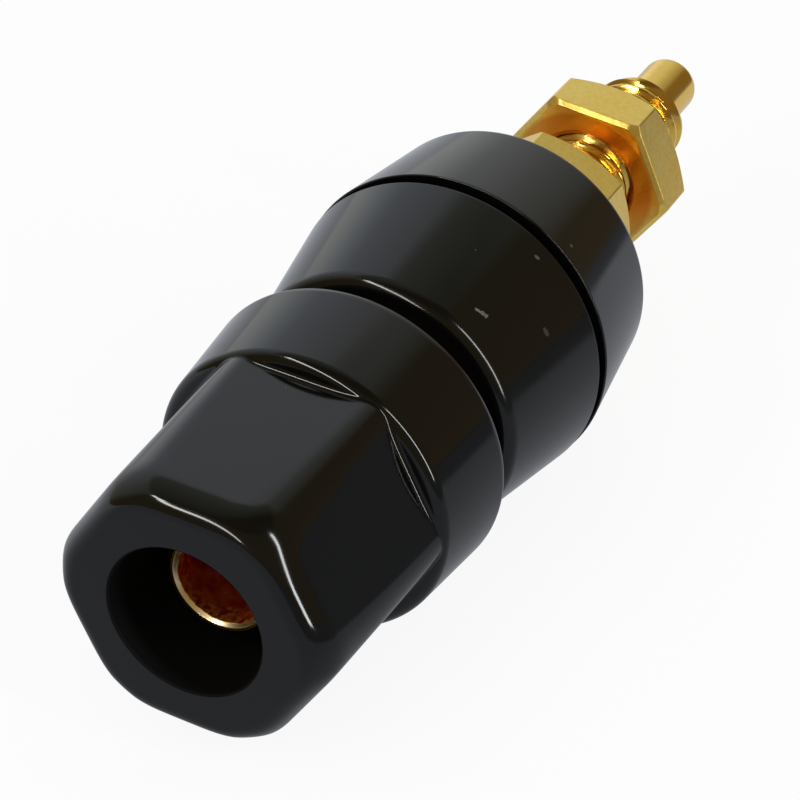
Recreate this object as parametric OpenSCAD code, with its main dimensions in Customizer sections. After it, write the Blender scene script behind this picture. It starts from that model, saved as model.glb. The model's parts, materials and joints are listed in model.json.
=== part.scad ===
// Speaker terminal: a screw-down binding post for a 4 mm plug, a bare wire or a ring tag.
// The axis lies along Y with the knob towards -Y. The origin is on the axis, in the plane
// where the front bush bears on the panel. Every piece is drawn standing on +Z, which is
// forward, and along_axis() lays it down.

/* [Knob] */
// Length of the knob, from its front face to the rear rim of its skirt
knob_len = 15; // [13:0.1:20]
// Length of the round skirt behind the hexagonal nose
skirt_len = 5.4; // [3:0.1:6.5]
// Diameter of the skirt where the nose ends
skirt_front_d = 13.7; // [12.8:0.1:16]
// Diameter of the skirt at its rear rim
skirt_rear_d = 14.6; // [12.8:0.1:17]
// Radius on both edges of the skirt
skirt_round = 0.4; // [0.1:0.05:0.8]
// Size of the nose across its flats, at the front
nose_front_af = 11.5; // [10.6:0.1:12.6]
// Size of the nose across its flats, where it meets the skirt
nose_rear_af = 12; // [11:0.1:13]
// Corner radius of the nose where it meets the skirt
nose_rear_corner = 1; // [0.4:0.1:2]
// Radius of the nose's front edges, and of its corners there
nose_fillet = 1.2; // [0.6:0.1:1.6]
// Diameter that the nose's corners are turned down to, at the front
nose_front_d = 13.2; // [12.8:0.1:14]
// Radius over which those corners are rolled off
nose_roll = 2.3; // [1.6:0.1:3]
// Room in the plug opening around the front end of the post
plug_hole_margin = 0.6; // [0.3:0.05:1]
// Depth of the plug opening, down to the insert
plug_hole_depth = 7.2; // [4:0.1:9]
// Chamfer at the mouth of the plug opening
plug_hole_chamfer = 0.2; // [0.05:0.05:0.5]
// Angle at which the tightened knob has come to rest
knob_angle = -4; // [-30:1:30]

/* [Knob insert] */
// Wall of the threaded insert around its thread
insert_wall = 1.7; // [1.2:0.1:2]
// How far the insert stands out behind the skirt
insert_proud = 1.4; // [0.8:0.1:3]
// Depth of the groove that the plastic grips
insert_groove_depth = 0.6; // [0.3:0.05:0.9]
// Width of that groove
insert_groove_width = 1.6; // [0.8:0.1:3]
// Chamfer on the edges of the insert
insert_chamfer = 0.25; // [0.1:0.05:0.5]

/* [Post] */
// Diameter of the front thread
front_thread_d = 6; // [5.5:0.1:6.6]
// Bore of the plug socket
socket_d = 4; // [3.5:0.1:4.4]
// Depth of the plug socket
socket_depth = 17.5; // [10:0.5:19]
// Chamfer at the mouth of the socket
socket_chamfer = 0.25; // [0.1:0.05:0.4]
// Chamfer on the outer edge of the post's front end
post_chamfer = 0.4; // [0.1:0.05:0.5]
// How far the post's front end lies behind the knob's front face
post_set_back = 2.8; // [1:0.1:5]
// Diameter of the cross hole for a bare wire
wire_hole_d = 2.6; // [1.5:0.1:3]
// Distance from the collar's face to the near edge of the wire hole
wire_hole_offset = 0.5; // [0.3:0.1:1]
// How far the collar stands out around the front thread
collar_lip = 1.4; // [0.8:0.1:1.8]
// Thickness of the collar
collar_len = 2; // [1.2:0.1:3]
// How far the collar stands proud of the front bush
collar_proud = 0.3; // [0.1:0.05:0.8]
// Depth of each of the collar's two flats, which stop the post from turning
collar_flat = 0.8; // [0.3:0.1:1]
// Diameter of the rear thread
stud_d = 5; // [4:0.1:5.6]
// Length of the stud that shows behind the terminal nut
stud_proud = 4.4; // [2:0.1:8]
// Radius on the end of the stud
stud_round = 0.4; // [0.1:0.05:0.6]
// Diameter of the solder pin
pin_d = 2.95; // [2:0.05:3.4]
// Length of the solder pin
pin_len = 4.1; // [3:0.1:9]
// Radius on the end of the solder pin
pin_round = 0.5; // [0.1:0.05:0.8]

/* [Front bush] */
// Length of the front bush
front_bush_len = 7; // [5:0.1:10]
// Diameter of the front bush at its front
front_bush_front_d = 13.2; // [12:0.1:15]
// Diameter of the front bush at the panel
front_bush_rear_d = 15.6; // [13:0.1:18]
// Radius on the front edge of the front bush
front_bush_round = 0.6; // [0.2:0.05:1]
// Wall of the spigot that goes through the panel
spigot_wall = 1.5; // [1:0.1:2]
// Length of the spigot
spigot_len = 2.4; // [1.5:0.1:4]
// Depth of the flat along the spigot, which keys the rear bush to it
spigot_flat = 0.6; // [0.3:0.1:0.8]

/* [Rear bush] */
// Length of the rear bush
rear_bush_len = 6.4; // [5:0.1:10]
// How far the rear bush stands out past the front bush at the panel
rear_bush_lip = 0.05; // [0:0.05:0.5]
// Diameter of the rear bush at its rear
rear_bush_rear_d = 14; // [12:0.1:17]
// Radius on the rear edge of the rear bush
rear_bush_round = 0.5; // [0.2:0.05:1]
// Radius on the edges of both bushes at the panel
panel_edge_round = 0.1; // [0.05:0.05:0.3]
// Gap between the bushes when no panel is fitted
bush_gap = 0.6; // [0.2:0.1:1]

/* [Washers and nuts] */
// Diameter of the flat washer
flat_washer_d = 10; // [8:0.1:12]
// Thickness of the flat washer
flat_washer_t = 1; // [0.5:0.1:1.5]
// Diameter of the spring washer
spring_washer_d = 9.2; // [8:0.1:11]
// Thickness of the spring washer
spring_washer_t = 1.2; // [0.8:0.1:1.8]
// Width of the slit in the spring washer
spring_washer_slit = 0.5; // [0.3:0.1:1]
// Slant of that slit from the axis
spring_washer_slant = 35; // [0:5:45]
// Size of both nuts across their flats
nut_af = 8; // [7.5:0.1:10]
// Thickness of both nuts
nut_len = 3; // [2:0.1:4]
// Angle of the chamfer on both faces of a nut
nut_chamfer_angle = 40; // [15:1:45]
// How far that chamfer bites into the flats
nut_chamfer_bite = 0.25; // [0.05:0.05:0.4]
// Chamfer at both ends of a nut's thread
nut_thread_chamfer = 0.3; // [0.1:0.05:0.5]
// Distance between the two nuts
nut_gap = 3.1; // [1:0.1:6]
// Angle at which the panel nut has come to rest
panel_nut_angle = 37; // [0:1:60]
// Angle at which the terminal nut stands
terminal_nut_angle = -7; // [-30:1:30]

/* [Fits] */
// Radial clearance between a thread and what runs on it
thread_clear = 0.05; // [0.02:0.01:0.1]
// Radial clearance between the knob's shell and its insert
insert_clear = 0.04; // [0.02:0.01:0.1]
// Radial clearance of the holes that the stud only passes through
hole_clear = 0.15; // [0.05:0.05:0.3]
// Clearance round the collar and the spigot in their pockets
pocket_clear = 0.1; // [0.05:0.05:0.2]
// Clearance between faces that bear on one another
seat_clear = 0.02; // [0.01:0.01:0.05]

/* [Hidden] */
$fn = 64;

// How far a cut runs past the face that it opens
cut = 1;
// How far a slanted side lies inside the radii at its ends, so that it crosses them
tuck = 0.002;
// How far the nose runs on into the skirt
nose_root = 2;
// How far the turned shape of the nose clears its corners at the skirt
nose_flare = 0.2;
// Sides of the rounded corners that the nose is stretched over
nose_fn = 32;
sides = 6;

// Places along the axis, forward of the panel plane
collar_face_w = front_bush_len + collar_proud;
insert_rear_w = collar_face_w + seat_clear;
knob_rear_w = insert_rear_w + insert_proud;
skirt_front_w = knob_rear_w + skirt_len;
knob_front_w = knob_rear_w + knob_len;
insert_front_w = knob_front_w - plug_hole_depth;
post_front_w = knob_front_w - post_set_back;
collar_rear_w = collar_face_w - collar_len;
groove_mid_w = (insert_front_w + knob_rear_w) / 2;
wire_hole_w = collar_face_w + wire_hole_offset + wire_hole_d / 2;

// Places along the axis, behind the panel plane
rear_bush_front_w = -bush_gap;
rear_bush_rear_w = rear_bush_front_w - rear_bush_len;
flat_washer_w = rear_bush_rear_w - seat_clear - flat_washer_t;
spring_washer_w = flat_washer_w - seat_clear - spring_washer_t;
panel_nut_w = spring_washer_w - seat_clear - nut_len;
terminal_nut_w = panel_nut_w - nut_gap - nut_len;
stud_end_w = terminal_nut_w - stud_proud;
pin_end_w = stud_end_w - pin_len;

// Diameters that follow from the front bush and from the threads
rear_bush_front_d = front_bush_rear_d + 2 * rear_bush_lip;
insert_d = front_thread_d + 2 * insert_wall;
plug_hole_d = front_thread_d + 2 * plug_hole_margin;
collar_d = front_thread_d + 2 * collar_lip;
collar_af = collar_d - 2 * collar_flat;
spigot_d = stud_d + 2 * spigot_wall;
stud_hole_d = stud_d + 2 * hole_clear;

module along_axis() {
    rotate([90, 0, 0]) children();
}

// A round bar from one place on the axis to another
module bar(d, from_w, to_w) {
    translate([0, 0, from_w]) cylinder(d = d, h = to_w - from_w);
}

// A cone between two places on the axis, for chamfers
module taper(from_d, to_d, from_w, to_w) {
    translate([0, 0, from_w]) cylinder(d1 = from_d, d2 = to_d, h = to_w - from_w);
}

// A turned bush that widens or narrows along the axis, with a radius on each outer edge.
// The centre of each radius lies where it touches both the end face and the slanted side.
module turned_bush(from_w, len, rear_d, front_d, rear_round, front_round) {
    lean = atan2((rear_d - front_d) / 2, len);
    side = [cos(lean), sin(lean)];
    rear_mid = [rear_d / 2 - rear_round * (1 + sin(lean)) / cos(lean), rear_round];
    front_mid = [front_d / 2 - front_round * (1 - sin(lean)) / cos(lean), len - front_round];
    translate([0, 0, from_w]) rotate_extrude() {
        polygon([[0, 0], [rear_mid.x, 0], rear_mid + (rear_round - tuck) * side,
            front_mid + (front_round - tuck) * side, [front_mid.x, len], [0, len]]);
        translate(rear_mid) circle(rear_round);
        translate(front_mid) circle(front_round);
    }
}

// A round bar with a radius on its rear end
module round_ended_bar(d, from_w, to_w, end_round) {
    turned_bush(from_w, to_w - from_w, d, d, end_round, end_round);
}

// The outline of the collar: a circle with two flats
module collar_outline(grow) {
    intersection() {
        circle(d = collar_d + 2 * grow);
        square([collar_d + 2 * grow + cut, collar_af + 2 * grow], center = true);
    }
}

// The outline of the spigot: a circle with one flat
module spigot_outline(grow) {
    full = spigot_d + 2 * grow;
    intersection() {
        circle(d = full);
        translate([-full / 2 - cut, -full / 2 - cut])
            square([full + 2 * cut, full + cut - spigot_flat]);
    }
}

// The brass post: plug socket and front thread, collar, stud and solder pin in one turning
module post() {
    barrel_d = front_thread_d - 2 * thread_clear;
    rear_d = stud_d - 2 * thread_clear;
    color("goldenrod") along_axis() difference() {
        union() {
            bar(barrel_d, collar_rear_w, post_front_w - post_chamfer);
            taper(barrel_d, barrel_d - 2 * post_chamfer, post_front_w - post_chamfer, post_front_w);
            translate([0, 0, collar_rear_w]) linear_extrude(collar_len) collar_outline(0);
            round_ended_bar(rear_d, stud_end_w, collar_face_w - cut / 2, stud_round);
            round_ended_bar(pin_d, pin_end_w, stud_end_w + cut, pin_round);
        }
        bar(socket_d, post_front_w - socket_depth, post_front_w + cut);
        taper(socket_d, socket_d + 2 * socket_chamfer,
            post_front_w - socket_chamfer, post_front_w);
        translate([0, 0, wire_hole_w]) rotate([0, 90, 0])
            cylinder(d = wire_hole_d, h = collar_d, center = true);
    }
}

// The front bush, with the pocket that holds the post's collar and the keyed spigot
module front_bush() {
    color("black") along_axis() difference() {
        union() {
            turned_bush(0, front_bush_len, front_bush_rear_d, front_bush_front_d,
                panel_edge_round, front_bush_round);
            translate([0, 0, -spigot_len]) linear_extrude(spigot_len + cut) spigot_outline(0);
        }
        bar(stud_hole_d, -spigot_len - cut, front_bush_len);
        translate([0, 0, collar_rear_w])
            linear_extrude(front_bush_len) collar_outline(pocket_clear);
    }
}

// The threaded insert that the knob is moulded round
module knob_insert() {
    groove_d = insert_d - 2 * insert_groove_depth;
    color("goldenrod") along_axis() difference() {
        union() {
            bar(groove_d, insert_rear_w + insert_chamfer, insert_front_w - insert_chamfer);
            bar(insert_d, insert_rear_w + insert_chamfer, groove_mid_w - insert_groove_width / 2);
            bar(insert_d, groove_mid_w + insert_groove_width / 2, insert_front_w - insert_chamfer);
            taper(insert_d - 2 * insert_chamfer, insert_d, insert_rear_w, insert_rear_w + insert_chamfer);
            taper(insert_d, insert_d - 2 * insert_chamfer,
                insert_front_w - insert_chamfer, insert_front_w);
        }
        bar(front_thread_d, insert_rear_w - cut, insert_front_w + cut);
        taper(front_thread_d + 2 * insert_chamfer, front_thread_d,
            insert_rear_w, insert_rear_w + insert_chamfer);
    }
}

// The hexagonal nose, stretched over six balls at the front and six tight corners at the skirt,
// where its flats run out in crescents. Its front corners are rolled off by a turned shape.
module knob_nose() {
    front_reach = (nose_front_af / 2 - nose_fillet) / cos(180 / sides);
    rear_reach = (nose_rear_af / 2 - nose_rear_corner) / cos(180 / sides);
    root_w = skirt_front_w - nose_root;
    intersection() {
        hull() for (k = [0 : sides - 1]) rotate([0, 0, knob_angle + k * 360 / sides]) {
            translate([front_reach, 0, knob_front_w - nose_fillet]) sphere(nose_fillet, $fn = nose_fn);
            translate([rear_reach, 0, root_w]) cylinder(r = nose_rear_corner, h = nose_root, $fn = nose_fn);
        }
        turned_bush(root_w, knob_front_w - root_w, skirt_front_d + 2 * nose_flare, nose_front_d,
            skirt_round, nose_roll);
    }
}

// The moulded shell of the knob: hexagonal nose, round skirt, plug opening and insert pocket
module knob_cap() {
    pocket_d = insert_d + 2 * insert_clear;
    rib_d = pocket_d - 2 * insert_groove_depth;
    rib_half = insert_groove_width / 2 - insert_clear;
    color("black") along_axis() difference() {
        union() {
            knob_nose();
            turned_bush(knob_rear_w, skirt_len, skirt_rear_d, skirt_front_d,
                skirt_round, skirt_round);
        }
        bar(plug_hole_d, insert_front_w, knob_front_w + cut);
        taper(plug_hole_d, plug_hole_d + 2 * plug_hole_chamfer,
            knob_front_w - plug_hole_chamfer, knob_front_w);
        bar(rib_d, knob_rear_w - cut, insert_front_w + seat_clear);
        bar(pocket_d, knob_rear_w - cut, groove_mid_w - rib_half);
        bar(pocket_d, groove_mid_w + rib_half, insert_front_w + seat_clear);
    }
}

// The rear bush, with the keyed pocket that the spigot slides in
module rear_bush() {
    pocket_w = -spigot_len - seat_clear;
    color("black") along_axis() difference() {
        turned_bush(rear_bush_rear_w, rear_bush_len, rear_bush_rear_d, rear_bush_front_d,
            rear_bush_round, panel_edge_round);
        bar(stud_hole_d, rear_bush_rear_w - cut, cut);
        translate([0, 0, pocket_w]) linear_extrude(spigot_len + cut) spigot_outline(pocket_clear);
    }
}

module flat_washer() {
    color("gold") along_axis() difference() {
        bar(flat_washer_d, flat_washer_w, flat_washer_w + flat_washer_t);
        bar(stud_hole_d, flat_washer_w - cut, flat_washer_w + flat_washer_t + cut);
    }
}

// The spring washer, pressed flat, with its slanted slit
module spring_washer() {
    mid_r = (spring_washer_d + stud_hole_d) / 4;
    color("gold") along_axis() difference() {
        bar(spring_washer_d, spring_washer_w, spring_washer_w + spring_washer_t);
        bar(stud_hole_d, spring_washer_w - cut, spring_washer_w + spring_washer_t + cut);
        translate([mid_r, 0, spring_washer_w + spring_washer_t / 2])
            rotate([spring_washer_slant, 0, 0])
                cube([spring_washer_d / 2, spring_washer_slit, 3 * spring_washer_t], center = true);
    }
}

// A hexagon nut, chamfered on both faces, with a countersink at both ends of its thread
module hex_nut(from_w, angle) {
    corner_r = nut_af / 2 / cos(180 / sides);
    face_r = nut_af / 2 - nut_chamfer_bite;
    over_r = corner_r + nut_chamfer_bite;
    drop = (over_r - face_r) * tan(nut_chamfer_angle);
    mouth_d = stud_d + 2 * nut_thread_chamfer;
    color("gold") along_axis() translate([0, 0, from_w]) difference() {
        intersection() {
            rotate([0, 0, angle]) cylinder(r = corner_r, h = nut_len, $fn = sides);
            rotate_extrude() polygon([[0, 0], [face_r, 0], [over_r, drop],
                [over_r, nut_len - drop], [face_r, nut_len], [0, nut_len]]);
        }
        bar(stud_d, -cut, nut_len + cut);
        taper(mouth_d, stud_d, 0, nut_thread_chamfer);
        taper(stud_d, mouth_d, nut_len - nut_thread_chamfer, nut_len);
    }
}

module panel_nut() {
    hex_nut(panel_nut_w, panel_nut_angle);
}

module terminal_nut() {
    hex_nut(terminal_nut_w, terminal_nut_angle);
}

post();
front_bush();
knob_insert();
knob_cap();
rear_bush();
flat_washer();
spring_washer();
panel_nut();
terminal_nut();
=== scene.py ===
import json
import math

import bpy
import numpy as np
from mathutils import Matrix, Vector


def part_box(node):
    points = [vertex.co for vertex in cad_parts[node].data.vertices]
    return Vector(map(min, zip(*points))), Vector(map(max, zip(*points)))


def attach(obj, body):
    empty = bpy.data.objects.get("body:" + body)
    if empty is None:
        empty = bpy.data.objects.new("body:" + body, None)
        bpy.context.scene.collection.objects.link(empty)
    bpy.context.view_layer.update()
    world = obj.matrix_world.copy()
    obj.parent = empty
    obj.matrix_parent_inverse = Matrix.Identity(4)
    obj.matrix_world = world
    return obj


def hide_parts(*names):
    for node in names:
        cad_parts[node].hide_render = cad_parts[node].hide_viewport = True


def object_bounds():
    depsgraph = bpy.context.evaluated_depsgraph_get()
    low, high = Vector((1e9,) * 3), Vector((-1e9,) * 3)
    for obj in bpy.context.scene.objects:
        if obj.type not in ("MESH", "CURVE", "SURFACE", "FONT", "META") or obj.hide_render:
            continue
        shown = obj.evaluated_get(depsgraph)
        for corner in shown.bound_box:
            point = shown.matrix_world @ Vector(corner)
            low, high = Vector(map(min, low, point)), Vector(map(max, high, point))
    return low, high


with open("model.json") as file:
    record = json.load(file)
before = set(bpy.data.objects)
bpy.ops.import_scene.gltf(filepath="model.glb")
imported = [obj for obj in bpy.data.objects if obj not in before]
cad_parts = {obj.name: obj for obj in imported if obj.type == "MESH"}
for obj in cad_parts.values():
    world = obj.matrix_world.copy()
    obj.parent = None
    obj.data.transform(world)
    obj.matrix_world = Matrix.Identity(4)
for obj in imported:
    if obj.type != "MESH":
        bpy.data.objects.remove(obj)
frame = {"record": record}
cad_low, cad_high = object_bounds()
MM = 0.001

# Post
# One brass turning with a gold flash: the plug socket and front thread, a collar with two
# flats, the rear stud and the solder pin. The wire hole is drilled across its barrel.


def ends_of(node):
    """Where a node begins and ends along the axis, as distances forward of the panel plane."""
    low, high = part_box(node)
    return -low.y, -high.y


def turn_angles(count):
    """Equal angles round the axis, from +X towards +Z."""
    return np.linspace(0, 2 * np.pi, count, endpoint=False)


def round_corners(corners, rounds, closed=True, steps=6, guard=0.06 * MM):
    """The rows of a profile whose corners are rounded, for every angle round the axis at once.

    A corner is (radius, forward), and either may be an array over the angles. Its arc touches
    both sides at rounding / tan(half the corner's angle) and is the spherical blend of its two
    end directions about their common centre. A guard row beside each arc keeps the sides flat.
    """
    count = max(np.size(value) for corner in corners for value in corner)
    points = np.array([[np.broadcast_to(v, count) for v in c] for c in corners], float)
    share = np.linspace(0, 1, steps + 1)[:, None, None]
    rows = []
    for i, rounding in enumerate(rounds):
        here = points[i]
        if rounding == 0 or (not closed and i in (0, len(points) - 1)):
            rows.append(here[None])
            continue
        back = points[i - 1] - here
        ahead = points[(i + 1) % len(points)] - here
        back = back / np.hypot(*back)
        ahead = ahead / np.hypot(*ahead)
        half = np.arccos(np.clip((back * ahead).sum(0), -1, 1)) / 2
        reach = rounding / np.tan(half)
        inward = back + ahead
        centre = here + inward / np.hypot(*inward) * rounding / np.sin(half)
        start = here + back * reach - centre
        end = here + ahead * reach - centre
        sweep = np.pi - 2 * half
        blend = np.sin((1 - share) * sweep) * start + np.sin(share * sweep) * end
        rows.append((here + back * (reach + guard))[None])
        rows.append(centre + blend / np.sin(sweep))
        rows.append((here + ahead * (reach + guard))[None])
    grid = np.concatenate(rows)
    return grid[:, 0], grid[:, 1]


def outline_rows(outline, **how):
    """The rounded rows of an outline that is given as (radius, forward, rounding) triples."""
    corners = [corner[:2] for corner in outline]
    rounds = [corner[2] for corner in outline]
    return round_corners(corners, rounds, **how)


def thread_rows(radius, start, end, pitch, rows_per_pitch=12):
    """Corners along a straight side, close enough together to carry a thread."""
    count = math.ceil(abs(end - start) / pitch * rows_per_pitch)
    return [(radius, place, 0) for place in np.linspace(start, end, count)]


def thread_cut(forward, turn, pitch, rear, front, crest=0.22, root=0.12, depth=0.55):
    """How deep a right-hand thread is cut at each point of a grid.

    The groove's place runs one pitch forward for each turn. Across a pitch it is a triangle
    whose crest and root are cut flat by a share, and whose depth is a share of the pitch. It
    fades out over half a pitch at both ends.
    """
    phase = (forward / pitch - turn / (2 * np.pi)) % 1
    across = np.clip((1 - crest - np.abs(2 * phase - 1)) / (1 - crest - root), 0, 1)
    inside = np.clip(np.minimum(forward - rear, front - forward) / (pitch / 2), 0, 1)
    return depth * pitch * across * inside


def flatted_circle(radius, turn, flat, both=True):
    """The radius at each angle of a circle with a flat across its top, and one below if both."""
    height = np.sin(turn)
    facing = np.abs(height) if both else height
    return np.minimum(radius, (radius - flat) / np.maximum(facing, 1e-6))


def shade(mesh, sharp=math.radians(38)):
    """Shades a mesh smooth, apart from edges at which it turns by more than the sharp angle."""
    mesh.shade_smooth()
    mesh.set_sharp_from_angle(angle=sharp)


def mesh_piece(name, points, quads, triangles):
    """A smooth-shaded object at the origin, with its faces turned outwards.

    A closed mesh whose faces look outwards has a positive sum of corner triple products, so
    the faces are turned round where the sum is negative.
    """
    halves = np.concatenate([quads[:, [0, 1, 2]], quads[:, [0, 2, 3]], triangles])
    a, b, c = (points[halves[:, k]] for k in range(3))
    if (a * np.cross(b, c)).sum() < 0:
        quads, triangles = quads[:, ::-1], triangles[:, ::-1]
    mesh = bpy.data.meshes.new(name)
    mesh.from_pydata(points.tolist(), [], quads.tolist() + triangles.tolist())
    shade(mesh)
    piece = bpy.data.objects.new(name, mesh)
    bpy.context.scene.collection.objects.link(piece)
    return piece


def lathe_piece(name, radius, forward, turn, closed=True):
    """A mesh object from a grid of radii and forward distances, a column for each angle.

    A point lies at radius times (cos, sin) of its angle in X and Z, and at minus forward in Y.
    A closed grid joins its last row to its first. An open one starts and ends on the axis, and
    those two rows become single points.
    """
    rows, cols = np.broadcast(radius, forward, turn).shape
    radius = np.broadcast_to(radius, (rows, cols))
    forward = np.broadcast_to(forward, (rows, cols))
    points = np.stack([radius * np.cos(turn), -forward, radius * np.sin(turn)], -1)
    here = np.arange(cols)
    beside = (here + 1) % cols
    caps = np.zeros((0, 3), int)
    if closed:
        points = points.reshape(-1, 3)
        row = np.arange(rows)[:, None]
        above = (row + 1) % rows
    else:
        poles = points[[0, -1], 0]
        points = np.concatenate([points[1:-1].reshape(-1, 3), poles])
        row = np.arange(rows - 3)[:, None]
        above = row + 1
        first, last = (rows - 2) * cols, (rows - 2) * cols + 1
        far = (rows - 3) * cols
        start_fan = np.stack([np.full(cols, first), beside, here], -1)
        end_fan = np.stack([np.full(cols, last), far + here, far + beside], -1)
        caps = np.concatenate([start_fan, end_fan])
    corner = [row * cols + here, row * cols + beside, above * cols + beside, above * cols + here]
    quads = np.stack(corner, -1).reshape(-1, 4)
    return mesh_piece(name, points, quads, caps)


def drill(piece, centre, along, radius, length):
    """Cuts a round hole through a piece with a many-sided bar, and keeps the cut mesh.

    The piece is split into triangles first, as they are flat, and the bar is turned a little so
    that its corners miss the piece's own edges.
    """
    count = 90
    turn = turn_angles(count) + 0.01
    side = along.orthogonal().normalized()
    up = along.cross(side)
    ring = radius * (np.outer(np.cos(turn), side) + np.outer(np.sin(turn), up))
    ends = [np.array(centre + along * (s * length / 2)) for s in (-1, 1)]
    points = np.concatenate([ring + ends[0], ring + ends[1]])
    here = np.arange(count)
    beside = (here + 1) % count
    sides = np.stack([here, beside, beside + count, here + count], -1)
    caps = [here[::-1].tolist(), (here + count).tolist()]
    mesh = bpy.data.meshes.new(piece.name + "_drill")
    mesh.from_pydata(points.tolist(), [], sides.tolist() + caps)
    bar = bpy.data.objects.new(mesh.name, mesh)
    bpy.context.scene.collection.objects.link(bar)
    piece.modifiers.new("split", "TRIANGULATE")
    cut = piece.modifiers.new("drill", "BOOLEAN")
    cut.object = bar
    cut.operation = "DIFFERENCE"
    done = piece.evaluated_get(bpy.context.evaluated_depsgraph_get())
    drilled = bpy.data.meshes.new_from_object(done)
    piece.modifiers.clear()
    piece.data = drilled
    bpy.data.objects.remove(bar)
    shade(drilled)


def fit(piece, node, body, material):
    """Puts a piece in the place of its CAD node, on its body, with its material."""
    piece.data.materials.append(material)
    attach(piece, body)
    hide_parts(node)


def new_material(name):
    """A material with a Principled shader and a node for its Object coordinates."""
    material = bpy.data.materials.new(name)
    material.use_nodes = True
    material.node_tree.nodes.new("ShaderNodeTexCoord")
    return material


def parts_of(material):
    """A material's node tree and its Object coordinates."""
    tree = material.node_tree
    return tree, tree.nodes["Texture Coordinate"].outputs["Object"]


def new_group(name, inputs, outputs):
    """An empty shader group with named sockets: (name, kind, default) in and (name, kind) out."""
    group = bpy.data.node_groups.new(name, "ShaderNodeTree")
    for label, kind, default in inputs:
        socket = group.interface.new_socket(label, in_out="INPUT", socket_type="NodeSocket" + kind)
        if default is not None:
            socket.default_value = default
    for label, kind in outputs:
        group.interface.new_socket(label, in_out="OUTPUT", socket_type="NodeSocket" + kind)
    start = group.nodes.new("NodeGroupInput")
    end = group.nodes.new("NodeGroupOutput")
    return group, start.outputs, end.inputs


def add_node(tree, kind, settings=None, **inputs):
    """A node with its settings and its inputs, each input a value or the output that feeds it."""
    node = tree.nodes.new("ShaderNode" + kind)
    for key, value in (settings or {}).items():
        setattr(node, key, value)
    for key, value in inputs.items():
        by_number = key[1:].isdigit()
        socket = node.inputs[int(key[1:])] if by_number else node.inputs[key.replace("_", " ")]
        if isinstance(value, bpy.types.NodeSocket):
            tree.links.new(value, socket)
        else:
            socket.default_value = value
    return node


def add_group(tree, group, **inputs):
    """The outputs of a shader group that is placed in a node tree with its own values."""
    return add_node(tree, "Group", {"node_tree": group}, **inputs).outputs


def reckon(tree, operation, *values, clamp=False):
    """The result of one step of arithmetic on values or outputs."""
    inputs = {f"_{i}": value for i, value in enumerate(values)}
    node = add_node(tree, "Math", {"operation": operation, "use_clamp": clamp}, **inputs)
    return node.outputs["Value"]


def reckon_vector(tree, operation, *values):
    """The result of one step of vector arithmetic: a number where the step gives one."""
    inputs = {f"_{i}": value for i, value in enumerate(values)}
    node = add_node(tree, "VectorMath", {"operation": operation}, **inputs)
    gives_number = operation in ("DOT_PRODUCT", "LENGTH", "DISTANCE")
    return node.outputs["Value" if gives_number else "Vector"]


def carry_range(tree, value, start, end, low=0.0, high=1.0):
    """A value carried from the range start to end onto the range low to high, and kept in it."""
    node = add_node(tree, "MapRange", Value=value, From_Min=start, From_Max=end, To_Min=low, To_Max=high)
    return node.outputs["Result"]


def mix_colours(tree, share, first, second, how="MIX"):
    """Two colours mixed by a share of the second."""
    node = add_node(tree, "MixRGB", {"blend_type": how}, Fac=share, Color1=first, Color2=second)
    return node.outputs["Color"]


def noise(tree, place, scale, detail=2.0, roughness=0.5):
    """Cloudy values from 0 to 1, with lumps that are one over the scale wide."""
    node = add_node(tree, "TexNoise", Vector=place, Scale=scale, Detail=detail, Roughness=roughness)
    return node.outputs["Fac"]


def plating_group():
    """Gold flash on a turned part: soft cloudy changes of tone, fine tool rings and scratches.

    Out come a tone from 0 to 1, a roughness and a height. The rings are noise read along the
    axis only, and the scratches are noise stretched ten to one. Grain is a fine noise that
    darkens the tone and roughens the height.
    """
    group, start, end = new_group(
        "gold_flash",
        [("Vector", "Vector", None), ("Rings", "Float", 1.0), ("Grain", "Float", 0.0),
         ("Roughness", "Float", 0.16)],
        [("Tone", "Float"), ("Roughness", "Float"), ("Height", "Float")],
    )
    cloud = noise(group, start["Vector"], 420.0, detail=4.0)
    along = add_node(group, "Mapping", Vector=start["Vector"], Scale=(60.0, 9000.0, 60.0))
    rings = noise(group, along.outputs["Vector"], 1.0)
    tilted = add_node(group, "Mapping", Vector=start["Vector"], Rotation=(0.5, 0.9, 0.3),
                      Scale=(700.0, 7000.0, 7000.0))
    scratches = noise(group, tilted.outputs["Vector"], 1.0, detail=3.0)
    grain = noise(group, start["Vector"], 4200.0, detail=3.0)
    pits = carry_range(group, grain, 0.62, 0.38, 0.0, -1.0)
    ringed = reckon(group, "MULTIPLY", rings, start["Rings"])
    marks = reckon(group, "MULTIPLY_ADD", scratches, 0.35, ringed)
    spread = reckon(group, "MULTIPLY_ADD", cloud, 0.16, -0.08)
    tone = reckon(group, "MULTIPLY_ADD", pits, start["Grain"], cloud, clamp=True)
    rough = reckon(group, "ADD", spread, start["Roughness"], clamp=True)
    height = reckon(group, "MULTIPLY_ADD", pits, start["Grain"], marks)
    group.links.new(tone, end["Tone"])
    group.links.new(rough, end["Roughness"])
    group.links.new(height, end["Height"])
    return group


gold_flash = plating_group()


def gold_material(name, pale, deep, rings, grain, roughness, bump):
    """Gold plating between a pale and a deep tone, with the flash's rings and scratches as bump."""
    material = new_material(name)
    tree, place = parts_of(material)
    shader = tree.nodes["Principled BSDF"]
    flash = add_group(tree, gold_flash, Vector=place, Rings=rings, Grain=grain, Roughness=roughness)
    tone = mix_colours(tree, flash["Tone"], (*deep, 1), (*pale, 1))
    relief = add_node(tree, "Bump", Height=flash["Height"], Strength=bump, Distance=0.01 * MM)
    tree.links.new(tone, shader.inputs["Base Color"])
    tree.links.new(flash["Roughness"], shader.inputs["Roughness"])
    tree.links.new(relief.outputs["Normal"], shader.inputs["Normal"])
    shader.inputs["Metallic"].default_value = 1.0
    return material


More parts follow.
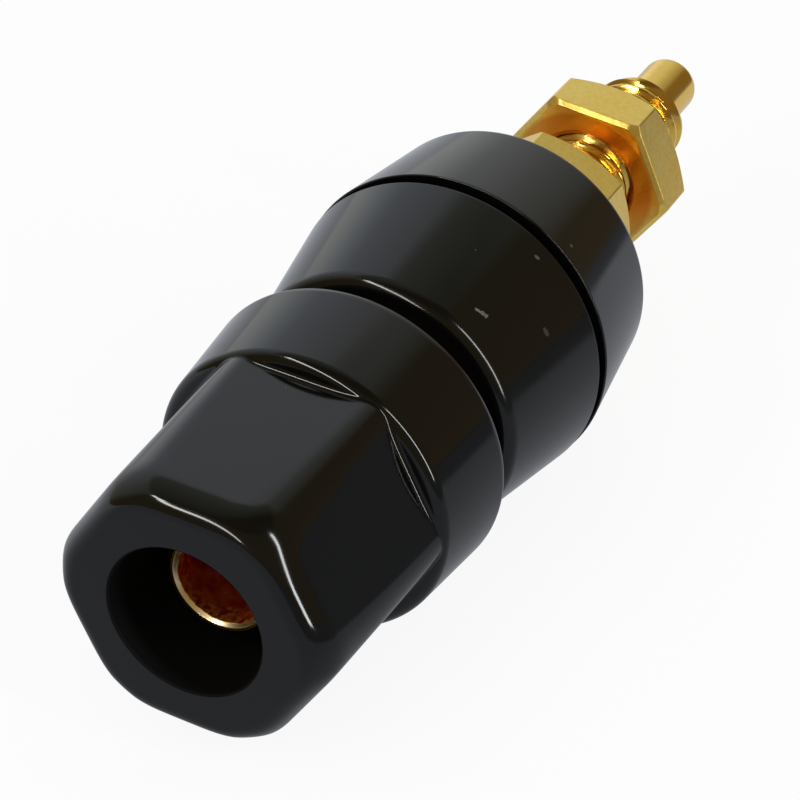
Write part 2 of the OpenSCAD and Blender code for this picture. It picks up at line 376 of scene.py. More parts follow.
def change_where(material, mask, **looks):
    """Mixes other values into what feeds a material's Principled sockets, where a mask is 1."""
    tree = material.node_tree
    shader = tree.nodes["Principled BSDF"]
    for name, value in looks.items():
        socket = shader.inputs[name.replace("_", " ")]
        mixed = mix_colours(tree, mask, socket.links[0].from_socket, value)
        tree.links.new(mixed, socket)


def axis_group():
    """How far a point lies from the terminal's axis, and how far forward of the panel plane."""
    group, start, end = new_group(
        "from_axis", [("Vector", "Vector", None)], [("Distance", "Float"), ("Forward", "Float")]
    )
    across = reckon_vector(group, "MULTIPLY", start["Vector"], (1, 0, 1))
    group.links.new(reckon_vector(group, "LENGTH", across), end["Distance"])
    group.links.new(reckon_vector(group, "DOT_PRODUCT", start["Vector"], (0, -1, 0)), end["Forward"])
    return group


from_axis = axis_group()

mounts = {m["name"]: m for m in frame["record"]["mounts"]}
wire_hole = mounts["wire_hole"]
socket_r = mounts["plug_socket"]["dims"]["r_mm"] * MM
socket_depth = 17.5 * MM
socket_chamfer = 0.15 * MM
barrel_r = 2.95 * MM
barrel_chamfer = 0.65 * MM
barrel_pitch = 1.0 * MM
collar_proud = 0.3 * MM
collar_len = 2.0 * MM
collar_flat = 0.8 * MM
stud_r = 2.45 * MM
stud_round = 0.4 * MM
stud_pitch = 0.8 * MM
stud_thread_lead = 1.0 * MM
pin_r = mounts["solder_pin"]["dims"]["r_mm"] * MM
pin_len = 4.1 * MM
pin_round = 0.5 * MM
pin_margin = 0.2 * MM
plain_end = 0.7 * MM
thread_relief = 0.3 * MM
row_inset = 0.1 * MM
mouth_gap = 0.2 * MM
rim_width = 0.14 * MM
keen_edge = 0.03 * MM
broken_edge = 0.1 * MM
eased_edge = 0.15 * MM

post_front, pin_end = ends_of("post")
bush_front, spigot_end = ends_of("front_bush")
rear_bush_front, rear_bush_rear = ends_of("rear_bush")
collar_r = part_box("post")[1].x
collar_face = bush_front + collar_proud
collar_rear = collar_face - collar_len
stud_end = pin_end + pin_len
stud_thread_start = rear_bush_rear + stud_thread_lead
barrel_thread_end = collar_face + thread_relief

turn = turn_angles(192)
collar_edge = flatted_circle(collar_r, turn, collar_flat)
post_outline = [
    (0, post_front - socket_depth, 0),
    (socket_r, post_front - socket_depth, 0.2 * MM),
    (socket_r, post_front - socket_chamfer, keen_edge),
    (socket_r + socket_chamfer, post_front, keen_edge),
    (barrel_r - barrel_chamfer, post_front, keen_edge),
    (barrel_r, post_front - barrel_chamfer, 0.08 * MM),
    *thread_rows(barrel_r, post_front - plain_end, barrel_thread_end + row_inset, barrel_pitch),
    (barrel_r, collar_face, broken_edge),
    (collar_edge, collar_face, eased_edge),
    (collar_edge, collar_rear, eased_edge),
    (stud_r, collar_rear, broken_edge),
    *thread_rows(stud_r, stud_thread_start, stud_end + plain_end, stud_pitch),
    (stud_r, stud_end, stud_round),
    (pin_r, stud_end, broken_edge),
    (pin_r, pin_end, pin_round),
    (0, pin_end, 0),
]
radius, forward = outline_rows(post_outline, closed=False)
on_barrel = (radius > socket_r + socket_chamfer) & (forward > collar_face)
barrel_cut = thread_cut(forward, turn, barrel_pitch, barrel_thread_end, post_front - mouth_gap)
radius = radius - on_barrel * barrel_cut
on_stud = (forward < stud_thread_start) & (forward > stud_end) & (radius > pin_r + pin_margin)
radius = radius - on_stud * thread_cut(forward, turn, stud_pitch, stud_end, stud_thread_start)
post = lathe_piece("post_turning", radius, forward, turn, closed=False)
drill(post, Vector(wire_hole["pos_m"]), Vector(wire_hole["axis"]),
      wire_hole["dims"]["r_mm"] * MM, 4 * barrel_r)

pale_gold, deep_gold = (1.0, 0.72, 0.18), (0.9, 0.54, 0.09)
turned_finish = {"rings": 1.0, "grain": 0.2, "roughness": 0.16, "bump": 0.35}
post_gold = gold_material("post_gold", pale_gold, deep_gold, **turned_finish)
tree, place = parts_of(post_gold)
axis = add_group(tree, from_axis, Vector=place)
in_front = reckon(tree, "GREATER_THAN", axis["Forward"], 0.0)
# Painted highlight: the chamfer at the socket's mouth is a paler, cream gold with a rougher finish. It
# stands in for the bright line round the rim.
near_highlight_rim = reckon(tree, "LESS_THAN", axis["Distance"], socket_r + rim_width)
painted_highlight_rim = reckon(tree, "MULTIPLY", near_highlight_rim, in_front)
change_where(post_gold, painted_highlight_rim, Base_Color=(1.0, 0.86, 0.56, 1), Roughness=(0.3, 0.3, 0.3, 1))
# Painted bounce light and glints: the socket's wall is deep red to orange in cloudy patches, standing in
# for light bounced round inside the gold bore. Painted bright specks on it grow thicker towards the
# mouth, where the light comes in.
painted_bounce_patches = carry_range(tree, noise(tree, place, 1300.0, detail=1.0), 0.4, 0.65)
painted_bounce_red = mix_colours(tree, painted_bounce_patches, (0.62, 0.045, 0.006, 1), (1.0, 0.25, 0.04, 1))
glints_near_mouth = carry_range(tree, axis["Forward"], post_front, post_front - 1.3 * MM, 0.26, 0.0)
glint_field = reckon(tree, "ADD", noise(tree, place, 3600.0), glints_near_mouth)
painted_glint_share = carry_range(tree, glint_field, 0.62, 0.76)
painted_bounce_and_glints = mix_colours(tree, painted_glint_share, painted_bounce_red, (1.0, 0.6, 0.15, 1))
near_wall = reckon(tree, "LESS_THAN", axis["Distance"], socket_r + keen_edge)
painted_bore_wall = reckon(tree, "MULTIPLY", near_wall, in_front)
change_where(post_gold, painted_bore_wall, Base_Color=painted_bounce_and_glints, Roughness=(0.5, 0.5, 0.5, 1))
fit(post, "post", "terminal", post_gold)

# Front bush
# A black moulded insulator that widens towards the panel. A pocket in its face holds the
# post's collar, and its spigot passes through the panel and keys the rear bush.


def moulding_group():
    """A glossy black moulding: a faint orange-peel height, smudged gloss and a little dust.

    Out come the share of dust from 0 to 1, a roughness and a height. Dust is a cell pattern of
    which only the cells with a low random value keep a small spot at their centre.
    """
    group, start, end = new_group(
        "black_moulding",
        [("Vector", "Vector", None), ("Roughness", "Float", 0.1), ("Smudge", "Float", 0.08),
         ("Dust", "Float", 0.03)],
        [("Dust", "Float"), ("Roughness", "Float"), ("Height", "Float")],
    )
    peel = noise(group, start["Vector"], 900.0)
    cloud = noise(group, start["Vector"], 160.0, detail=4.0, roughness=0.6)
    smudge = carry_range(group, cloud, 0.45, 0.75)
    rough = reckon(group, "MULTIPLY_ADD", smudge, start["Smudge"], start["Roughness"])
    cells = add_node(group, "TexVoronoi", Vector=start["Vector"], Scale=1100.0)
    spot = reckon(group, "LESS_THAN", cells.outputs["Distance"], 0.12)
    drawn = add_node(group, "SeparateColor", Color=cells.outputs["Color"])
    kept = reckon(group, "LESS_THAN", drawn.outputs["Red"], start["Dust"])
    group.links.new(reckon(group, "MULTIPLY", spot, kept), end["Dust"])
    group.links.new(rough, end["Roughness"])
    group.links.new(peel, end["Height"])
    return group


black_moulding = moulding_group()


def plastic_material(name, roughness, smudge, peel):
    """Black plastic with the moulding's dust in its colour and its peel as bump."""
    black, dusty = (0.002, 0.002, 0.002, 1), (0.045, 0.045, 0.04, 1)
    material = new_material(name)
    tree, place = parts_of(material)
    shader = tree.nodes["Principled BSDF"]
    skin = add_group(tree, black_moulding, Vector=place, Roughness=roughness, Smudge=smudge, Dust=0.012)
    tone = mix_colours(tree, skin["Dust"], black, dusty)
    relief = add_node(tree, "Bump", Height=skin["Height"], Strength=peel, Distance=0.02 * MM)
    tree.links.new(tone, shader.inputs["Base Color"])
    tree.links.new(skin["Roughness"], shader.inputs["Roughness"])
    tree.links.new(relief.outputs["Normal"], shader.inputs["Normal"])
    shader.inputs["IOR"].default_value = 1.5
    return material


def speck_group():
    """A mask of a speck of lint: what lies within a ragged width of a straight line.

    The nearest point of the line is its start plus a share of its length, and the share is the
    dot product with the line over the line's own square, kept between 0 and 1.
    """
    group, start, end = new_group(
        "lint_speck",
        [("Vector", "Vector", None), ("Start", "Vector", None), ("Line", "Vector", None),
         ("Width", "Float", 0.0)],
        [("Inside", "Float")],
    )
    from_start = reckon_vector(group, "SUBTRACT", start["Vector"], start["Start"])
    past = reckon_vector(group, "DOT_PRODUCT", from_start, start["Line"])
    square = reckon_vector(group, "DOT_PRODUCT", start["Line"], start["Line"])
    share = reckon(group, "DIVIDE", past, square, clamp=True)
    nearest = reckon_vector(group, "MULTIPLY", start["Line"], share)
    off = reckon_vector(group, "DISTANCE", from_start, nearest)
    ragged = reckon(group, "MULTIPLY", noise(group, start["Vector"], 9000.0), start["Width"])
    group.links.new(reckon(group, "LESS_THAN", off, ragged), end["Inside"])
    return group


lint_speck = speck_group()
bush_plastic = plastic_material("bush_plastic", roughness=0.1, smudge=0.08, peel=0.06)
tree, place = parts_of(bush_plastic)
lint_mm = [
    ((4.06, -5.30, 5.56), (0.26, 0.11, -0.19), 0.13, 0.11),
    ((4.32, -5.19, 5.37), (0.16, 0.03, -0.13), 0.19, 0.09),
    ((4.80, -0.79, 5.97), (0.12, 0.02, -0.10), 0.15, 0.06),
    ((6.27, -2.88, 3.70), (0.08, 0.02, -0.14), 0.24, 0.03),
]
for lint_start, lint_line, lint_width, tone in lint_mm:
    speck = add_group(tree, lint_speck, Vector=place, Start=Vector(lint_start) * MM,
                      Line=Vector(lint_line) * MM, Width=lint_width * MM)
    change_where(bush_plastic, speck["Inside"], Base_Color=(tone, tone, 0.9 * tone, 1))

front_bush_front_r = 6.6 * MM
front_bush_rear_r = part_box("front_bush")[1].x
front_bush_round = 0.7 * MM
panel_edge_round = 0.07 * MM
stud_hole_r = 2.65 * MM
pocket_clear = 0.1 * MM
spigot_r = 4.0 * MM
spigot_flat = 0.6 * MM

pocket_edge = flatted_circle(collar_r + pocket_clear, turn, collar_flat)
spigot_edge = flatted_circle(spigot_r, turn, spigot_flat, both=False)
front_bush_outline = [
    (front_bush_rear_r, 0, panel_edge_round),
    (front_bush_front_r, bush_front, front_bush_round),
    (pocket_edge, bush_front, 0.12 * MM),
    (pocket_edge, collar_rear, 0),
    (stud_hole_r, collar_rear, 0),
    (stud_hole_r, spigot_end, broken_edge),
    (spigot_edge, spigot_end, eased_edge),
    (spigot_edge, 0, 0),
]
front_bush = lathe_piece("front_bush_moulding", *outline_rows(front_bush_outline, steps=8), turn)
fit(front_bush, "front_bush", "terminal", bush_plastic)

# Knob insert
# A short gold-flashed brass tube with an inside thread, which the knob's plastic is moulded
# round. A groove keeps it from pulling out, and its rear face clamps the bare wire.

turned_gold = gold_material("turned_gold", pale_gold, deep_gold, **turned_finish)
insert_bore_r = 3.0 * MM
groove_depth = 0.6 * MM
groove_width = 1.6 * MM
insert_chamfer = 0.25 * MM
chamfer_edge = 0.05 * MM
hair = 0.01 * MM
insert_front, insert_rear = ends_of("knob_insert")
knob_front, knob_rear = ends_of("knob_cap")
insert_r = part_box("knob_insert")[1].x
groove_mid = (insert_front + knob_rear) / 2
groove_front, groove_rear = groove_mid + groove_width / 2, groove_mid - groove_width / 2
groove_r = insert_r - groove_depth
thread_rear, thread_front = insert_rear + 0.4 * MM, insert_front - 0.3 * MM
insert_outline = [
    (insert_bore_r + insert_chamfer, insert_rear, 0.04 * MM),
    (insert_bore_r, insert_rear + insert_chamfer, 0.04 * MM),
    *thread_rows(insert_bore_r, thread_rear + row_inset, thread_front - row_inset, barrel_pitch),
    (insert_bore_r, insert_front, chamfer_edge),
    (insert_r - insert_chamfer, insert_front, chamfer_edge),
    (insert_r, insert_front - insert_chamfer, chamfer_edge),
    (insert_r, groove_front, 0),
    (groove_r, groove_front, 0),
    (groove_r, groove_rear, 0),
    (insert_r, groove_rear, 0),
    (insert_r, insert_rear + insert_chamfer, chamfer_edge),
    (insert_r - insert_chamfer, insert_rear, chamfer_edge),
]
radius, forward = outline_rows(insert_outline, steps=3, guard=keen_edge)
in_bore = radius < insert_bore_r + hair
radius = radius + in_bore * thread_cut(forward, turn, barrel_pitch, thread_rear, thread_front)
insert = lathe_piece("knob_insert_turning", radius, forward, turn)
fit(insert, "knob_insert", "insert", turned_gold)

# Knob cap
# The moulded black shell of the knob. Its hexagonal nose has corners that are rolled off at the
# front and run out over the round skirt, with crescent ledges between them.

knob_angle = math.radians(-4)
nose_front_flat = 5.94 * MM
nose_rear_flat = 6.08 * MM
nose_front_corner = 1.8 * MM
nose_rear_corner = 1.4 * MM
nose_reach = 1.5 * MM
nose_front_r = 6.42 * MM
nose_roll = 2.0 * MM
nose_lean = math.radians(45)
nose_edge = 0.8 * MM
nose_edge_start = 0.35 * MM
nose_taper = 0.06
nose_blend = 0.3 * MM
nose_root_fillet = 0.28 * MM
skirt_len = 5.4 * MM
skirt_front_r = 6.93 * MM
skirt_rear_r = 7.38 * MM
skirt_round = 0.55 * MM
plug_hole_r = 3.55 * MM
plug_hole_round = 0.12 * MM
opening_margin = 0.1 * MM
insert_clear = 0.04 * MM
seat_clear = 0.02 * MM
guard = 0.06 * MM
knob_pocket_r = insert_r + insert_clear
rib_r = knob_pocket_r - groove_depth
rib_front, rib_rear = groove_front - insert_clear, groove_rear + insert_clear
skirt_front = knob_rear + skirt_len
side_tilt = math.atan2(skirt_rear_r - skirt_front_r, skirt_len)
roll_start = knob_front - nose_reach


def rounded_hexagon(flat, corner, turn, start):
    """The radius at each angle of a hexagon with round corners.

    From the middle of a side out to its corner's arc it is flat / cos of the angle, and from
    there the far crossing with a circle of radius corner about the arc's centre, which lies
    (flat - corner) / cos 30 degrees out in the corner's direction.
    """
    sixth = np.pi / 3
    from_corner = np.abs((turn - start + sixth / 2) % sixth - sixth / 2)
    from_side = sixth / 2 - from_corner
    out = (flat - corner) / np.cos(sixth / 2)
    straight = flat / np.cos(from_side)
    off = out * np.sin(from_corner)
    arc = out * np.cos(from_corner) + np.sqrt(np.maximum(corner**2 - off**2, 0))
    on_side = flat * np.tan(from_side) < (flat - corner) * np.tan(sixth / 2)
    return np.where(on_side, straight, arc)


def rolled_edge(depth, reach):
    """How far a rolled edge draws in at a depth behind its face.

    It is an arc that begins on the side, at a reach behind the face, and has leaned over by the
    nose's lean where it meets the face.
    """
    radius = reach / math.sin(nose_lean)
    past = np.clip(reach - depth, 0, reach)
    return radius - np.sqrt(radius**2 - past**2)


def nose_radius(forward, turn):
    """The nose's radius at a distance forward and an angle.

    It is the smaller of two radii, with a soft change from one to the other: a hexagon that
    narrows forward and rolls in towards its front edge, and a turned shape with a longer roll,
    which takes the hexagon's corners off.
    """
    depth = knob_front - forward
    share = np.clip((forward - skirt_front) / (roll_start - skirt_front), 0, 1)
    inset = rolled_edge(depth, nose_reach)
    flat = nose_rear_flat + (nose_front_flat - nose_rear_flat) * share - inset
    corner = nose_rear_corner + (nose_front_corner - nose_rear_corner) * share - inset
    side = rounded_hexagon(flat, np.maximum(corner, hair), turn, knob_angle)
    turned = nose_front_r + nose_taper * depth - rolled_edge(depth, nose_roll)
    weight = np.clip(0.5 + (turned - side) / (2 * nose_blend), 0, 1)
    return turned + (side - turned) * weight - nose_blend * weight * (1 - weight)


def nose_ledge(turn, steps):
    """The rows from the skirt's front edge, over the ledge, to the side of the nose.

    At each angle a ball of the root fillet's radius lies in the corner between the nose and
    the ledge, or against the skirt's rounded edge where the nose comes out that far. The rows
    follow the edge's arc to the ball, the flat ledge between them, and the ball's own arc,
    at equal steps of their length together.
    """
    nose = nose_radius(skirt_front, turn)
    edge_r = skirt_front_r - skirt_round * (1 - math.sin(side_tilt)) / math.cos(side_tilt)
    edge_w = skirt_front - skirt_round
    overlap = np.maximum(nose + nose_root_fillet - edge_r, 0)
    lean = np.arcsin(overlap / (skirt_round + nose_root_fillet))
    ball_w = edge_w + (skirt_round + nose_root_fillet) * np.cos(lean)
    ball_r = nose + nose_root_fillet
    edge_len = skirt_round * (np.pi / 2 - lean - side_tilt)
    flat_len = np.maximum(edge_r - ball_r, 0)
    root_len = nose_root_fillet * (np.pi / 2 - lean)
    far = np.linspace(0, 1, steps)[:, None] * (edge_len + flat_len + root_len)
    on_edge = side_tilt + np.minimum(far, edge_len) / skirt_round
    on_flat = np.clip(far - edge_len, 0, flat_len)
    on_root = np.clip(far - edge_len - flat_len, 0, None) / nose_root_fillet
    radius = np.where(far <= edge_len, edge_r + skirt_round * np.cos(on_edge), edge_r - on_flat)
    forward = np.where(far <= edge_len, edge_w + skirt_round * np.sin(on_edge), skirt_front)
    root = far > edge_len + flat_len
    radius = np.where(root, ball_r - nose_root_fillet * np.sin(lean + on_root), radius)
    forward = np.where(root, ball_w - nose_root_fillet * np.cos(lean + on_root), forward)
    return radius, forward, ball_w


turn = turn_angles(480)
ledge_r, ledge_w, nose_start = nose_ledge(turn, 30)
side_w = nose_start + np.linspace(0, 1, 26)[1:, None] * (knob_front - nose_roll - guard - nose_start)
roll_w = knob_front - np.linspace(nose_roll, nose_edge_start, 36)[:, None] + 0 * turn
nose_w = np.concatenate([side_w, roll_w])
nose_r = nose_radius(nose_w, turn)
hollow_outline = [
    (nose_r[-1], nose_w[-1], 0),
    (nose_radius(knob_front, turn), knob_front, nose_edge),
    (plug_hole_r, knob_front, plug_hole_round),
    (plug_hole_r, insert_front + seat_clear, 0),
    (knob_pocket_r, insert_front + seat_clear, 0),
    (knob_pocket_r, rib_front, 0),
    (rib_r, rib_front, 0),
    (rib_r, rib_rear, 0),
    (knob_pocket_r, rib_rear, 0),
    (knob_pocket_r, knob_rear, eased_edge),
    (skirt_rear_r, knob_rear, skirt_round),
    (ledge_r[0] + guard * math.tan(side_tilt), ledge_w[0] - guard, 0),
    (ledge_r[0], ledge_w[0], 0),
]
hollow_r, hollow_w = outline_rows(hollow_outline, closed=False, steps=8)
radius = np.concatenate([ledge_r, nose_r, hollow_r[1:-1]])
forward = np.concatenate([ledge_w, nose_w, hollow_w[1:-1]])
knob_plastic = plastic_material("knob_plastic", roughness=0.07, smudge=0.06, peel=0.05)
knob = lathe_piece("knob_moulding", radius, forward, turn)
fit(knob, "knob_cap", "knob", knob_plastic)

opening_plastic = plastic_material("opening_plastic", roughness=0.7, smudge=0.1, peel=0.05)
opening_shader = opening_plastic.node_tree.nodes["Principled BSDF"]
opening_shader.inputs["Specular IOR Level"].default_value = 0.12
knob.data.materials.append(opening_plastic)
faces = knob.data.polygons
middles = np.empty(3 * len(faces))
faces.foreach_get("center", middles)
in_opening = np.hypot(middles[0::3], middles[2::3]) < plug_hole_r + opening_margin
faces.foreach_set("material_index", in_opening.astype(np.int32))

# Rear bush
# The black moulded insulator behind the panel, which narrows to the rear. Its pocket slides on
# the keyed spigot, so it stays in line while the panel nut draws it up.

rear_bush_front_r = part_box("rear_bush")[1].x
rear_bush_rear_r = 7.0 * MM
rear_bush_round = 0.5 * MM
turn = turn_angles(288)
key_edge = flatted_circle(spigot_r + pocket_clear, turn, spigot_flat, both=False)
key_end = spigot_end - seat_clear
rear_bush_outline = [
    (rear_bush_rear_r, rear_bush_rear, rear_bush_round),
    (rear_bush_front_r, rear_bush_front, panel_edge_round),
    (key_edge, rear_bush_front, broken_edge),
    (key_edge, key_end, 0),
    (stud_hole_r, key_end, 0),
    (stud_hole_r, rear_bush_rear, broken_edge),
]
rear_bush = lathe_piece("rear_bush_moulding", *outline_rows(rear_bush_outline, steps=8), turn)
fit(rear_bush, "rear_bush", "rear_clamp", bush_plastic)

# Washers
# A stamped flat washer with edges broken by tumbling, then a spring washer bent from square
# wire and pressed flat, with its slanted slit. Both are plated like the nuts.

stamped_gold = gold_material(
    "stamped_gold", pale_gold, deep_gold, rings=0.2, grain=0.3, roughness=0.22, bump=0.3
)
washer_round = 0.12 * MM
slit = 0.5 * MM
slant = math.radians(35)


def ring_rows(node):
    """The rows of a plain ring round the stud that fills its node's box, with rounded edges."""
    front, rear = ends_of(node)
    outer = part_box(node)[1].z
    section = [(stud_hole_r, rear), (outer, rear), (outer, front), (stud_hole_r, front)]
    return round_corners(section, [washer_round] * 4, steps=5)


def slit_ring(name, radius, forward, count):
    """A ring that is cut through by a slanted slit at +X.

    A point's angle runs from one side of the slit round to the other. Each side is where the
    height across the slit is minus the forward distance times the tangent of the slant, plus
    or minus half the slit's width. The two ends are closed by fans about their middles.
    """
    middle = (forward.max() + forward.min()) / 2
    slide = -(forward[:, :1] - middle) * math.tan(slant)
    half = slit / 2 / math.cos(slant)
    first = np.arcsin((slide + half) / radius[:, :1])
    last = 2 * np.pi + np.arcsin((slide - half) / radius[:, :1])
    angle = first + (last - first) * np.linspace(0, 1, count)
    grid_r = np.broadcast_to(radius[:, :1], angle.shape)
    grid_w = np.broadcast_to(forward[:, :1], angle.shape)
    grid = np.stack([grid_r * np.cos(angle), -grid_w, grid_r * np.sin(angle)], -1)
    rows = len(grid)
    points = np.concatenate([grid.reshape(-1, 3), grid.mean(0)[[0, -1]]])
    row = np.arange(rows)
    above = (row + 1) % rows
    here = np.arange(count - 1)
    low, high = row[:, None] * count + here, above[:, None] * count + here
    quads = np.stack([low, low + 1, high + 1, high], -1).reshape(-1, 4)
    start_middle, end_middle = np.full(rows, rows * count), np.full(rows, rows * count + 1)
    start_fan = np.stack([start_middle, row * count, above * count], -1)
    end_fan = np.stack([end_middle, (above + 1) * count - 1, (row + 1) * count - 1], -1)
    return mesh_piece(name, points, quads, np.concatenate([start_fan, end_fan]))


flat_washer = lathe_piece("flat_washer_stamping", *ring_rows("flat_washer"), turn)
fit(flat_washer, "flat_washer", "rear_clamp", stamped_gold)
spring_washer = slit_ring("spring_washer_bend", *ring_rows("spring_washer"), 200)
fit(spring_washer, "spring_washer", "rear_clamp", stamped_gold)

# Nuts
# Two plated hexagon nuts with an even bevel in front, a turned chamfer behind and a thread that
# is countersunk at both ends. One clamps the panel and the other holds a ring tag.

nut_gold = gold_material(
    "nut_gold", (1.0, 0.79, 0.24), (0.94, 0.62, 0.12), rings=0.15, grain=0.4, roughness=0.3, bump=0.5
)
nut_flat = 4.0 * MM
nut_face_shade_r = 3.85 * MM
nut_face_shade_fade = 0.25 * MM
nut_face_r = 4.22 * MM
nut_bevel = 0.22 * MM
nut_cone_r = 3.8 * MM
nut_edge = 0.12 * MM
nut_bore_r = 2.5 * MM
nut_mouth = 0.3 * MM
nut_chamfer = math.radians(40)
nut_chamfer_edge = 0.04 * MM


def nut_piece(name, node, start):
    """A hexagon nut in its node's place, with a corner at the start angle.

    In front, a bevel of even width runs along each side, and a circle cuts it wider at the
    corners. The rear is chamfered by a cone, so its sides end in arcs. Both drop by the tangent
    of their angle for each step outwards. Columns are closer at the corners.
    """
    front, rear = ends_of(node)
    thread_rear, thread_front = rear + nut_mouth, front - nut_mouth
    near = np.radians(np.linspace(-3, 3, 17))
    corners = (start + turn_angles(6)[:, None] + near).ravel() % (2 * np.pi)
    turn = np.unique(np.concatenate([turn_angles(240), corners]).round(6))
    side = rounded_hexagon(nut_flat, nut_edge, turn, start)
    face = np.minimum(nut_face_r, side - nut_bevel)
    drop = (side - face) * math.tan(nut_chamfer)
    rear_drop = (side - nut_cone_r) * math.tan(nut_chamfer)
    outline = [
        (nut_bore_r, thread_front, keen_edge),
        (nut_bore_r + nut_mouth, front, chamfer_edge),
        (face, front, nut_chamfer_edge),
        (side, front - drop, nut_chamfer_edge),
        (side, rear + rear_drop, nut_chamfer_edge),
        (nut_cone_r, rear, nut_chamfer_edge),
        (nut_bore_r + nut_mouth, rear, chamfer_edge),
        (nut_bore_r, thread_rear, keen_edge),
        *thread_rows(nut_bore_r, thread_rear + row_inset, thread_front - row_inset, stud_pitch),
    ]
    radius, forward = outline_rows(outline, steps=4, guard=keen_edge)
    inside = radius < nut_bore_r + hair
    cut = thread_cut(forward, turn, stud_pitch, thread_rear, thread_front)
    return lathe_piece(name, radius + inside * cut, forward, turn)


# Painted shade: inside a radius a little short of the flats, fading over a quarter of a millimetre, the
# nuts are a deeper orange gold. It stands in for the dim gold-on-gold reflections on their faces between
# the nuts.
tree, place = parts_of(nut_gold)
axis = add_group(tree, from_axis, Vector=place)
painted_face_shade = carry_range(tree, axis["Distance"], nut_face_shade_r, nut_face_shade_r - nut_face_shade_fade)
change_where(nut_gold, painted_face_shade, Base_Color=(0.8, 0.4, 0.07, 1))
panel_nut = nut_piece("panel_nut_turning", "panel_nut", math.radians(37))
fit(panel_nut, "panel_nut", "panel_nut", nut_gold)
terminal_nut = nut_piece("terminal_nut_turning", "terminal_nut", math.radians(-7))
fit(terminal_nut, "terminal_nut", "terminal_nut", nut_gold)

# Floor, surroundings and lights
# The terminal lies on a white sheet. Its reflections show a room that is bright behind on the
# left and dim elsewhere, with a slanting tube lamp in front and a tall window on the right.


def seen_by(tree, *kinds):
    """1 for the rays of any of the named kinds, and 0 for the rest."""
    path = add_node(tree, "LightPath")
    seen = path.outputs[f"Is {kinds[0]} Ray"]
    for kind in kinds[1:]:
        seen = reckon(tree, "MAXIMUM", seen, path.outputs[f"Is {kind} Ray"])
    return seen


floor_half = 2.0
floor_corners = [(-1, -1), (1, -1), (1, 1), (-1, 1)]
floor_mesh = bpy.data.meshes.new("sheet")
floor_mesh.from_pydata(
    [(x * floor_half, y * floor_half, cad_low.z) for x, y in floor_corners], [], [(0, 1, 2, 3)]
)
floor = bpy.data.objects.new("sheet", floor_mesh)
bpy.context.scene.collection.objects.link(floor)
sheet = new_material("white_sheet")
floor_mesh.materials.append(sheet)
tree, place = parts_of(sheet)
shader = tree.nodes["Principled BSDF"]
shader.inputs["Base Color"].default_value = (0.9, 0.9, 0.9, 1)
shader.inputs["Roughness"].default_value = 0.9
shader.inputs["Specular IOR Level"].default_value = 0.0
# Painted light on the sheet as seen in reflections: its glow falls off from bright towards the back left
# to dim towards the front. It is painted dark beyond four to five and a half centimetres to the right,
# though the sheet runs on.
to_bright_side = reckon_vector(tree, "DOT_PRODUCT", place, (-0.7, 0.7, 0.0))
painted_falloff = carry_range(tree, to_bright_side, -0.016, 0.022, 0.29, 0.62)
to_right = reckon_vector(tree, "DOT_PRODUCT", place, (1.0, 0.0, 0.0))
painted_dark_right = carry_range(tree, to_right, 0.04, 0.055, 1.0, 0.2)
painted_floor_glow = reckon(tree, "MULTIPLY", painted_falloff, painted_dark_right)
by_camera = seen_by(tree, "Camera")
white = mix_colours(tree, by_camera, (0.93, 0.97, 1.06, 1), (1, 1, 1, 1))
shine = add_node(tree, "Emission", Color=white, Strength=reckon(tree, "MAXIMUM", painted_floor_glow, by_camera))
white_share = reckon(tree, "MULTIPLY", seen_by(tree, "Camera", "Transmission", "Glossy"), 0.9)
mix = add_node(tree, "MixShader", _0=white_share, _1=shader.outputs["BSDF"], _2=shine.outputs["Emission"])
tree.links.new(mix.outputs["Shader"], tree.nodes["Material Output"].inputs["Surface"])


def towards(azimuth, elevation):
    """The direction at an azimuth from +Y towards +X and an elevation upwards, in degrees."""
    az, el = math.radians(azimuth), math.radians(elevation)
    return Vector((math.sin(az) * math.cos(el), math.cos(az) * math.cos(el), math.sin(el)))


def room_dome(name, distance, brightest, stops):
    """A sphere round the object, seen in reflections only, that fades away from a direction.

    A point lies at distance times the direction of its azimuth and elevation. Its colour is
    read from the stops by the dot product of its own direction and the brightest one. It is
    halved overhead, where the room's ceiling begins, and brighter low down on the left.
    """
    az = turn_angles(96)
    el = np.linspace(-np.pi / 2, np.pi / 2, 49)[:, None]
    dome = lathe_piece(name, distance * np.cos(el), distance * np.sin(el), az, closed=False)
    material = new_material(name)
    tree, place = parts_of(material)
    outward = reckon_vector(tree, "NORMALIZE", place)
    ramp = add_node(tree, "ValToRGB", Fac=reckon_vector(tree, "DOT_PRODUCT", outward, brightest))
    colours = ramp.color_ramp.elements
    colours.remove(colours[1])
    colours[0].position = stops[0][0]
    colours[0].color = (*stops[0][1], 1)
    for spot, colour in stops[1:]:
        colours.new(spot).color = (*colour, 1)
    height = reckon_vector(tree, "DOT_PRODUCT", outward, (0, 0, 1))
    ceiling = carry_range(tree, height, 0.775, 0.83)
    tone = mix_colours(tree, ceiling, ramp.outputs["Color"], (0.52, 0.52, 0.42, 1), how="MULTIPLY")
    to_low_left = reckon_vector(tree, "DOT_PRODUCT", outward, towards(-50, -10))
    shine = add_node(tree, "Emission", Color=tone,
                     Strength=carry_range(tree, to_low_left, 0.77, 0.95, 1.0, 1.45))
    tree.links.new(shine.outputs["Emission"], tree.nodes["Material Output"].inputs["Surface"])
    dome.data.materials.append(material)
    dome.visible_camera = False
    dome.visible_diffuse = False
    dome.visible_transmission = False
    dome.visible_shadow = False


room_dome("room", 1.5, towards(-45, 34), [
    (0.48, (0.195, 0.142, 0.07)),
    (0.60, (0.34, 0.335, 0.28)),
    (0.75, (0.48, 0.48, 0.45)),
    (0.88, (0.63, 0.655, 0.64)),
    (1.00, (0.68, 0.73, 0.80)),
])

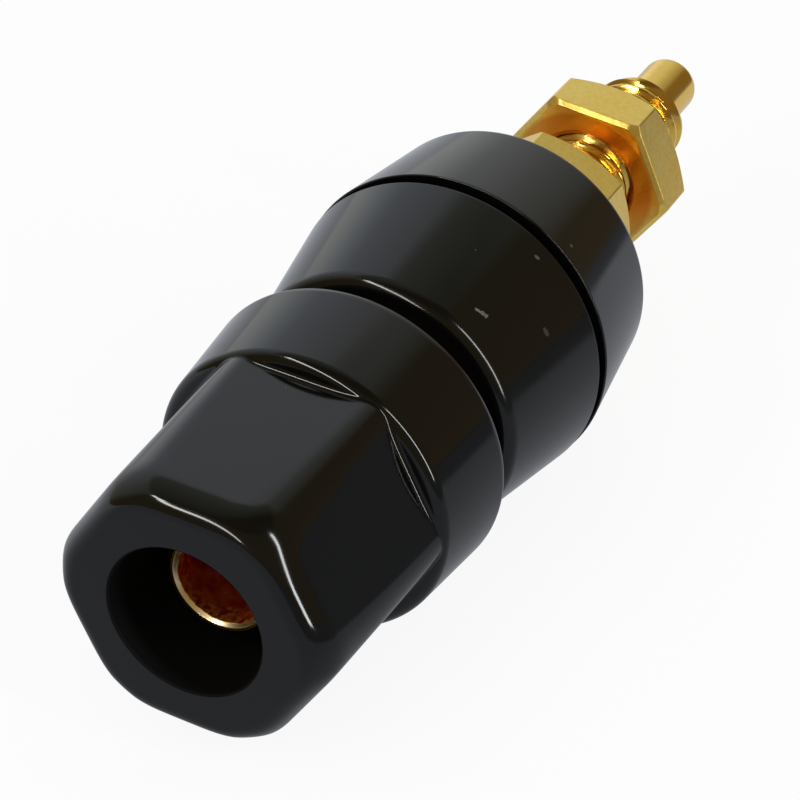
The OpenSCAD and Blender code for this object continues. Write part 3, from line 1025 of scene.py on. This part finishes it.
world = bpy.data.worlds.new("room")
bpy.context.scene.world = world
world.use_nodes = True
tree = world.node_tree
daylight = tree.nodes["Background"]
daylight.inputs["Color"].default_value = (0.96, 0.98, 1.0, 1)
seen = seen_by(tree, "Camera", "Transmission", "Glossy")
tree.links.new(carry_range(tree, seen, 0.0, 1.0, 0.6, 1.0), daylight.inputs["Strength"])


def strip_lamp(name, centre, along, length, width, radiance, colour, distance=0.6):
    """A flat lamp that faces the object, with its long side along a direction.

    Its power is its radiance times its area times pi.
    """
    lamp = bpy.data.lights.new(name, "AREA")
    lamp.shape = "RECTANGLE"
    lamp.size, lamp.size_y = length, width
    lamp.energy = radiance * length * width * math.pi
    lamp.color = colour
    light = bpy.data.objects.new(name, lamp)
    bpy.context.scene.collection.objects.link(light)
    side = (along - centre * along.dot(centre)).normalized()
    turned = Matrix((side, centre.cross(side), centre)).transposed()
    light.matrix_world = Matrix.Translation(centre * distance) @ turned.to_4x4()


tube_way = towards(169, 20) - towards(-125, 60)
strip_lamp("tube", towards(-161.7, 38.6), tube_way, 0.68, 0.045, 15.0, (1.0, 0.99, 0.96))
strip_lamp("window", towards(100, 26), Vector((0, 0, 1)), 0.58, 0.055, 16.0, (0.95, 0.98, 1.0))

# Camera
# The photograph's view: from the front right and above, with a long lens. Its place is set by
# where the middle of the knob's face is seen.

azimuth, elevation = math.radians(26.99), math.radians(34.73)
right = Vector((math.cos(azimuth), math.sin(azimuth), 0))
ahead = Vector((-math.sin(azimuth) * math.cos(elevation), math.cos(azimuth) * math.cos(elevation),
                -math.sin(elevation)))
up = right.cross(ahead)
face_middle = Vector((0, -23.52, 0)) * MM
face_seen = Vector((-8.607, -8.859, 120.674)) * MM
lens = bpy.data.cameras.new("photo_camera")
lens.sensor_width = 36.0
lens.lens = 135.0
lens.clip_start = 0.01
camera = bpy.data.objects.new("photo_camera", lens)
bpy.context.scene.collection.objects.link(camera)
eye = face_middle - right * face_seen.x - up * face_seen.y - ahead * face_seen.z
camera.matrix_world = Matrix.Translation(eye) @ Matrix((right, up, -ahead)).transposed().to_4x4()
bpy.context.scene.camera = camera
bpy.context.scene.view_settings.view_transform = "Standard"
